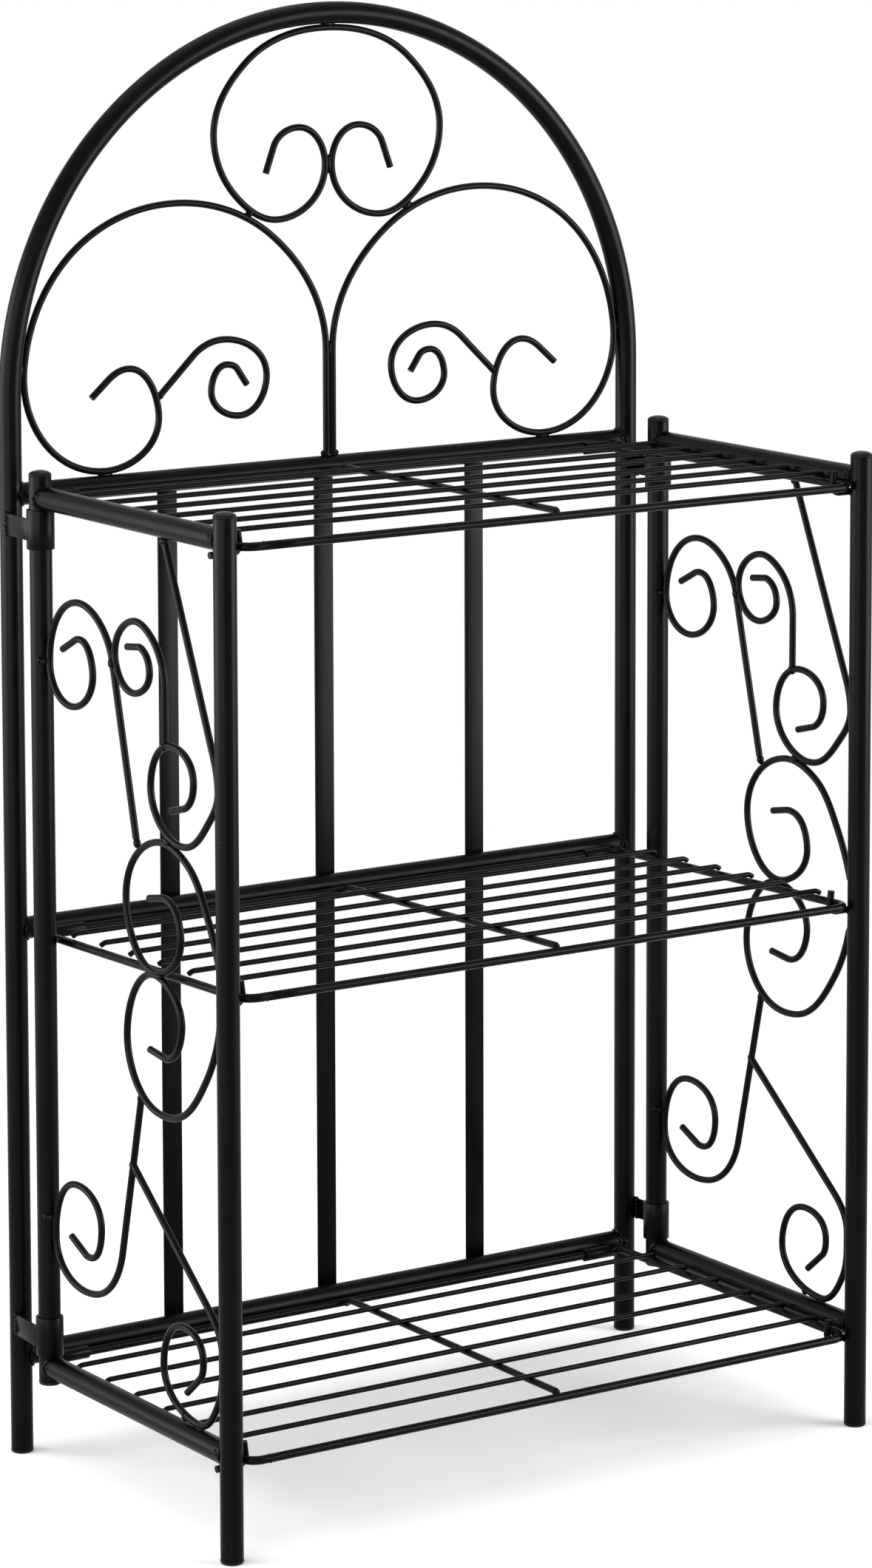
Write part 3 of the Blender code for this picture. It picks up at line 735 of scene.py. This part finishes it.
# scrollwork of the panels, as shares of the clear depth and height, then steps of one wire
def panelPlace(forward, up, wiresForward=0.0, wiresUp=0.0):
    edge = stand["tube"] + stand["gap"] + stand["wire"]
    depth = stand["hingeY"] - stand["frontY"]
    low, high = stand["rails"]["bottom"] + edge, stand["rails"]["top"] - edge
    return Vector((edge + forward * (depth - 2 * edge) + wiresForward * 2 * stand["wire"],
                   low + up * (high - low) + wiresUp * 2 * stand["wire"]))


panelScrolls = {  # knots, the straight spans among them, and headings where a wire touches a tube
    "upper": {
        "rear": (((0.083, 0.8467), (0.160, 0.861), (0.197, 0.863), (0.264, 0.834), (0.154, 0.783), (0, 0.828),
                  (0.163, 0.905), (0.313, 0.888), (0.388, 0.847), (0.527, 0.643, -0.3, 1.0)),
                 (0, 8), ((5, rising),)),
        "inner": (((0.477, 0.8702), (0.543, 0.8732), (0.575, 0.8695), (0.608, 0.847), (0.536, 0.820),
                   (0.388, 0.847, 0.85), (0.510, 0.901), (0.627, 0.886), (0.695, 0.832), (0.694, 0.768)),
                  (0, 8), ()),
        "front": (((0.725, 0.696), (0.802, 0.7035), (0.838, 0.7125), (0.859, 0.734), (0.720, 0.770),
                   (0.609, 0.719), (0.715, 0.654, 0.1, 1.3), (0.820, 0.661), (0.935, 0.692), (1, 0.734),
                   (0.975, 0.772), (0.702, 1, 0, 0.25)),
                  (0, 10), ((9, rising),)),
    },
    "middle": {
        "above": (((0.594, 0.588), (0.663, 0.593), (0.705, 0.5925), (0.778, 0.554), (0.660, 0.506),
                   (0.456, 0.575), (0.650, 0.656), (0.822, 0.640), (0.942, 0.583), (1, 0.534)),
                  (0,), ()),
        "below": (((0.591, 0.413), (0.6556, 0.4101), (0.697, 0.4095), (0.779, 0.447), (0.660, 0.506, 0, -0.8),
                   (0.456, 0.429), (0.540, 0.357), (0.735, 0.344), (0.925, 0.404), (1, 0.466)),
                  (0,), ()),
    },
    "lower": {
        "rear": (((0.540, 0.357, -0.25, -1.0), (0.415, 0.160), (0.255, 0.096), (0, 0.146), (0.126, 0.216),
                  (0.286, 0.175), (0.222, 0.1365), (0.182, 0.138), (0.099, 0.152)),
                 (0, 7), ((3, rising),)),
        "front": ((None, (0.929, 0.138), (1, 0.095), (0.980, 0.038), (0.865, 0), (0.657, 0.056),
                   (0.758, 0.105), (0.890, 0.077), (0.870, 0.054), (0.795, 0.031)),
                  (0, 8), ((2, falling), (4, inward))),
    },
    "branch": 0.42,  # where the lower front scroll leaves the stem of the rear one
}
# spots of weld on the scrolls, most of them on the face towards the left:
# place in the panel, shift to the left, direction in the panel, half length, radius
panelWelds = (
    ((0.388, 0.847, 0.45), 0.0020, (0.35, -1), 0.0042, 0.0026),
    ((0.527, 0.643, -0.1, 0.5), 0, (0.4, -1), 0.0036, 0.0027),
    ((0.694, 0.768, 0, 0.0), 0.0004, (0, 1), 0.0036, 0.0030),
    ((0.715, 0.654, 0, 0.7), 0.0016, (1, 0.1), 0.0040, 0.0024),
    ((1, 0.734, 0.5), 0.0020, (0, 1), 0.0045, 0.0022),
    ((0.702, 1, 0, 0.1), 0, (0.4, 1), 0.0034, 0.0033),
    ((1, 0.534, 0.45), 0.0018, (0, 1), 0.0045, 0.0022),
    ((0.660, 0.506, 0, -0.4), 0.0016, (1, 0.1), 0.0046, 0.0022),
    ((1, 0.466, 0.45), 0.0018, (0, 1), 0.0045, 0.0022),
    ((0.540, 0.357, -0.1, -0.6), 0.0004, (-0.4, -1), 0.0034, 0.0028),
    ((1, 0.095, 0.5), 0.0020, (0, 1), 0.0045, 0.0022),
    ((0.865, 0, 0, -0.5), 0, (1, 0), 0.0050, 0.0018),
    ((0.784, 0.003), 0.0010, (0.5, -1), 0.0038, 0.0024),
)
branchWeld = ((0, -0.7, -1), 0.0036, 0.0028)
rearTouches = (0.828, 0.166)  # where scrolls lie against the rear post
rearNub = (  # from the wire round to the post's left: shift, direction, half length, radius
    ((-0.0036, 0.0024, 0), (-0.58, 0.81, 0), 0.0040, 0.0021),
    ((-0.0054, 0.0047, 0.0004), (0, 0, 1), 0.0024, 0.0023),
)


def makePanelScrolls():
    for side, sign in stand["sides"].items():
        def lift(flat, sign=sign):
            return inPanel(flat, sign)
        stem = [panelPlace(*share) for share in panelScrolls["lower"]["rear"][0][:2]]
        branch = stem[0].lerp(stem[1], panelScrolls["branch"])
        for level in ("upper", "middle", "lower"):
            wires = []
            for name, (shares, straights, touches) in panelScrolls[level].items():
                knots = [branch if share is None else panelPlace(*share) for share in shares]
                wires.append(bendWire(name, knots, lift, stand["wire"], straights, touches))
            node = f"{side}_{level}_scrolls"
            hangOn(joinAs(node + "_wires", wires), side + "_panel", "powder_coat", node)
        for share, shift, along, length, thick in panelWelds:
            place = lift(panelPlace(*share)) - Vector((shift, 0, 0))
            weldLump(side + "_panel", place, (0, -along[0], along[1]), length, thick)
        weldLump(side + "_panel", lift(branch), *branchWeld)
        for up in rearTouches:
            for shift, along, length, thick in rearNub:
                weldLump(side + "_panel", lift(panelPlace(0, up)) + Vector(shift), along, length, thick)


makePanelScrolls()
print("panels made")

# hooks behind the front posts, which the shelves' side bars lie in
hookLook = {
    "rod": 0.0025,
    "bend": 0.006,
    "lean": 0.13,  # outwards, for each length up
    "ease": 0.0004,
    "chamfer": 0.0012,
    "weldShares": (0.7, 0.8),  # of the rod, forward and up or down
    "weldSpot": (0.0040, 0.0012),
}


def makeHooks():
    for side, sign in stand["sides"].items():
        for tier in stand["tiers"]:
            node = f"{side}_{tier}_hook"
            low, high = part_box(node)
            rod, bend = hookLook["rod"], hookLook["bend"]
            outer, inner = (low.x, high.x - rod) if sign < 0 else (high.x, low.x + rod)
            inner -= sign * hookLook["ease"]
            height, y = low.z + rod, (low.y + high.y) / 2
            knots = [Vector(knot) for knot in (
                (outer, height), (inner + sign * bend, height), (inner, height + bend),
                (inner + sign * hookLook["lean"] * (high.z - height - bend), high.z))]
            hook = bendWire(node + "_rod", knots, lambda flat, y=y: Vector((flat.x, y, flat.y)), rod, (0, 2),
                            chamfer=hookLook["chamfer"])
            hangOn(hook, side + "_panel", "powder_coat", node)
            forward, away = hookLook["weldShares"]
            for lift in (1, -1):
                place = (sign * stand["halfWidth"], y - rod * forward, height + lift * rod * away)
                weldLump(side + "_panel", place, (1, 0, 0), *hookLook["weldSpot"])


makeHooks()

# shelves: a wire frame with a butt weld, a centre bar and cross wires with dipped ends
shelfLook = {
    "axis": (0.13045, 0.0025),  # depth of the rear wire, and its drop below the tier
    "half": 0.2535,
    "splay": 0.0022,  # more at the front
    "depth": 0.2796,
    "wire": 0.003,
    "frontBend": 0.012,
    "rearBend": 0.005,
    "middleRise": 0.007,
    "butt": 0.017,  # butt weld, from the front left corner
    "buttSpot": (0.0016, 0.0002),  # half length, and how far it stands proud
    "bar": 0.0025,
    "barLevel": 0.0038,
    "barRun": 0.011,
    "barRear": 0.0043,
    "barHeading": (0.75, 0.66),
    "barRearWeld": (0.0008, 0.0030, 0.0018),  # lift, half length, radius
    "barFrontWeld": (-0.0006, 0.0030, 0.0022),
    "grid": 0.0019,
    "gridCount": 6,
    "gridMargins": (0.045, 0.034),
    "gridLevel": 0.0068,
    "gridSeat": 0.0050,
    "gridRun": 0.0045,
    "gridHeading": (0.86, 0.51),
}


def makeShelves():
    half, depth, wire = shelfLook["half"], shelfLook["depth"], shelfLook["wire"]
    front, rear = shelfLook["frontBend"], shelfLook["rearBend"]
    for tier, height in stand["tiers"].items():
        tip = math.asin(shelfLook["middleRise"] / depth) if tier == "middle" else 0.0
        hinge = Vector((0, shelfLook["axis"][0], height - shelfLook["axis"][1]))
        turn = Matrix.Translation(hinge) @ Matrix.Rotation(-tip, 4, "X")
        body = tier + "_shelf"

        def flatLift(flat, turn=turn):  # across and forward, in the plane of the frame
            return turn @ Vector((flat.x, -flat.y, 0))

        wide = half + shelfLook["splay"]
        buttX = -wide + shelfLook["butt"]
        outline = [Vector(corner) for corner in (
            (buttX, depth), (wide - front, depth), (wide, depth - front), (half, rear), (half - rear, 0),
            (-half + rear, 0), (-half, rear), (-wide, depth - front), (-wide + front, depth), (buttX, depth))]
        loop = bendWire(body + "_frame_wire", outline, flatLift, wire, (0, 2, 4, 6, 8))
        hangOn(loop, body, "powder_coat", body + "_frame")
        length, proud = shelfLook["buttSpot"]
        weldLump(body, flatLift(outline[0]), (1, 0, 0), length, wire + proud)

        def barLift(flat, turn=turn):  # forward and up, in the middle
            return turn @ Vector((0, -flat.x, flat.y))

        level, barLevel = shelfLook["gridLevel"], shelfLook["barLevel"]
        barStart, barEnd = shelfLook["barRear"], depth - wire
        bar = [Vector(knot) for knot in (
            (barStart, 0), (barStart + shelfLook["barRun"], barLevel), (barEnd, barLevel))]
        climb = Vector(shelfLook["barHeading"]).normalized()
        pieces = [bendWire("bar", bar, barLift, shelfLook["bar"], (1,), ((0, climb),))]
        rearMargin, frontMargin = shelfLook["gridMargins"]
        pitch = (depth - rearMargin - frontMargin) / (shelfLook["gridCount"] - 1)
        seat, dip = shelfLook["gridSeat"], Vector(shelfLook["gridHeading"]).normalized()
        headings = ((0, dip), (3, Vector((dip.x, -dip.y))))
        for index in range(shelfLook["gridCount"]):
            y = -(rearMargin + pitch * index)

            def crossLift(flat, turn=turn, y=y):  # across and up
                return turn @ Vector((flat.x, y, flat.y))

            end = half - shelfLook["splay"] * y / depth
            run = end - shelfLook["gridRun"]
            knots = [Vector(knot) for knot in ((-end, seat), (-run, level), (run, level), (end, seat))]
            pieces.append(bendWire(f"cross{index}", knots, crossLift, shelfLook["grid"], (1,), headings))
        hangOn(joinAs(body + "_grid_wires", pieces), body, "powder_coat", body + "_grid")
        for forward, up, weld in ((barStart, 0, "barRearWeld"), (barEnd, barLevel, "barFrontWeld")):
            lift, length, thick = shelfLook[weld]
            weldLump(body, barLift(Vector((forward, up + lift))), (1, 0, 0), length, thick)


makeShelves()
print("shelves made")


# weld metal: one rough piece on each body
def makeWelds():
    ripple = bpy.data.textures.new("weldRipple", "CLOUDS")
    ripple.noise_scale = weldLook["lumps"]
    for body, metal in weldMetal.items():
        welds = joinAs(body + "_welds", metal)
        bakeModifier(welds, "DISPLACE", texture=ripple, strength=weldLook["roughness"], mid_level=0.5,
                     texture_coords="LOCAL")
        hangOn(welds, body, "powder_coat")


makeWelds()
print("welds made")

# floor, light and camera
studio = {
    "floorSize": 60,
    "floorDrop": 0.0002,  # just clear of the feet
    "floorColour": (0.90, 0.90, 0.90, 1),
    "nearEdge": (0.55, 1.60),  # where the lit floor gives way to plain white
    "world": 0.42,
    "boxes": {  # around the stand: turn, distance, height, width and height of the face, tilt down, power
        "leftBox": (154, 2.8, 0.90, (2.6, 1.7), 0, 130),
        "frontBox": (204, 2.8, 0.90, (2.2, 1.7), 0, 62),
        "rightBox": (-43, 2.8, 0.90, (1.9, 1.7), 0, 125),
        "topBox": (90, 0.4, 3.2, (2.6, 2.6), 90, 34),
    },
    "paintedShadowReach": ((0.30, 0.21), (0.20, 0.10)),  # painted soft shadow under the stand, darkening the floor's own colour: half widths, none to full
    # share of the floor colour left where the shadow is painted
    "paintedShadow": 0.75,
}


def whereSeen(tree):  # 1 for what the camera, a reflection or glass looks at
    path = tree.nodes.new("ShaderNodeLightPath")
    seen = path.outputs["Is Camera Ray"]
    for kind in ("Is Glossy Ray", "Is Transmission Ray"):
        either = tree.nodes.new("ShaderNodeMath")
        either.operation = "MAXIMUM"
        tree.links.new(seen, either.inputs[0])
        tree.links.new(path.outputs[kind], either.inputs[1])
        seen = either.outputs["Value"]
    return seen


def makeFloor():
    bpy.ops.object.select_all(action="DESELECT")
    bpy.ops.mesh.primitive_plane_add(size=studio["floorSize"], location=(0, 0, -studio["floorDrop"]))
    floor = takeNew("studio_floor")
    settle(floor)
    paper = bpy.data.materials.new("whitePaper")
    paper.use_nodes = True
    tree = paper.node_tree
    tree.nodes.clear()
    place = tree.nodes.new("ShaderNodeTexCoord")
    far = tree.nodes.new("ShaderNodeVectorMath")
    far.operation = "LENGTH"
    tree.links.new(place.outputs["Object"], far.inputs[0])
    fade = tree.nodes.new("ShaderNodeMapRange")
    fade.interpolation_type = "SMOOTHSTEP"
    fade.inputs["From Min"].default_value, fade.inputs["From Max"].default_value = studio["nearEdge"]
    tree.links.new(far.outputs["Value"], fade.inputs["Value"])
    share = tree.nodes.new("ShaderNodeMath")
    share.operation = "MULTIPLY"
    tree.links.new(fade.outputs["Result"], share.inputs[0])
    tree.links.new(whereSeen(tree), share.inputs[1])
    apart = tree.nodes.new("ShaderNodeSeparateXYZ")
    tree.links.new(place.outputs["Object"], apart.inputs["Vector"])
    # painted shadow: a soft rectangle under the stand where the floor's colour is darkened
    paintedShadow = None
    for axis, (none, full) in zip("XY", studio["paintedShadowReach"]):
        off = tree.nodes.new("ShaderNodeMath")
        off.operation = "ABSOLUTE"
        tree.links.new(apart.outputs[axis], off.inputs[0])
        within = tree.nodes.new("ShaderNodeMapRange")
        within.interpolation_type = "SMOOTHSTEP"
        within.inputs["From Min"].default_value, within.inputs["From Max"].default_value = none, full
        tree.links.new(off.outputs["Value"], within.inputs["Value"])
        if paintedShadow:
            tree.links.new(paintedShadow, within.inputs["To Max"])
        paintedShadow = within.outputs["Result"]
    # mixes the floor colour towards its darker copy inside the painted shadow
    tint = tree.nodes.new("ShaderNodeMix")
    tint.data_type = "RGBA"
    tint.inputs[6].default_value = studio["floorColour"]
    tint.inputs[7].default_value = [part * studio["paintedShadow"] for part in studio["floorColour"][:3]] + [1]
    tree.links.new(paintedShadow, tint.inputs[0])
    matt = tree.nodes.new("ShaderNodeBsdfDiffuse")
    tree.links.new(tint.outputs[2], matt.inputs["Color"])
    plain = tree.nodes.new("ShaderNodeEmission")
    plain.inputs["Color"].default_value = (1, 1, 1, 1)
    blend = tree.nodes.new("ShaderNodeMixShader")
    tree.links.new(share.outputs["Value"], blend.inputs[0])
    tree.links.new(matt.outputs["BSDF"], blend.inputs[1])
    tree.links.new(plain.outputs["Emission"], blend.inputs[2])
    out = tree.nodes.new("ShaderNodeOutputMaterial")
    tree.links.new(blend.outputs["Shader"], out.inputs["Surface"])
    floor.data.materials.append(paper)


def makeLights():
    for name, (turn, away, height, face, tilt, watts) in studio["boxes"].items():
        turn = math.radians(turn)
        bpy.ops.object.light_add(type="AREA", location=(away * math.cos(turn), away * math.sin(turn), height))
        lamp = bpy.context.object
        lamp.name = name
        lamp.data.shape = "RECTANGLE"
        lamp.data.size, lamp.data.size_y = face
        lamp.data.energy = watts
        lamp.rotation_euler = (math.radians(90 - tilt), 0, turn + math.pi / 2)
    world = bpy.data.worlds.new("studioAir")
    world.use_nodes = True
    tree = world.node_tree
    air = tree.nodes["Background"]
    air.inputs["Color"].default_value = (1, 1, 1, 1)
    level = tree.nodes.new("ShaderNodeMapRange")  # plain white where it is seen
    level.inputs["To Min"].default_value, level.inputs["To Max"].default_value = studio["world"], 1
    tree.links.new(whereSeen(tree), level.inputs["Value"])
    tree.links.new(level.outputs["Result"], air.inputs["Strength"])
    bpy.context.scene.world = world


cameraLook = {
    "place": (-2.0914, -3.13445, 1.2231),
    "yaw": 33.6897,  # degrees, from the back wall towards the right
    "pitch": 6.9347,
    "roll": -0.1426,
    "lens": 81.90,
    "sensor": 24,
    "shift": -0.25,
    "clipEnd": 100,
}


def makeCamera():
    yaw, pitch, roll = (math.radians(cameraLook[key]) for key in ("yaw", "pitch", "roll"))
    bpy.ops.object.camera_add(location=cameraLook["place"])
    camera = bpy.context.object
    camera.name = "photoCamera"
    turn = Matrix.Rotation(-yaw, 4, "Z") @ Matrix.Rotation(math.pi / 2 - pitch, 4, "X")
    camera.rotation_euler = (turn @ Matrix.Rotation(roll, 4, "Z")).to_euler()
    camera.data.sensor_width = camera.data.sensor_height = cameraLook["sensor"]
    camera.data.lens = cameraLook["lens"]
    camera.data.shift_y = cameraLook["shift"]
    camera.data.clip_end = cameraLook["clipEnd"]
    bpy.context.scene.camera = camera


makeFloor()
makeLights()
makeCamera()
bpy.context.scene.view_settings.view_transform = "Standard"
print("studio made")
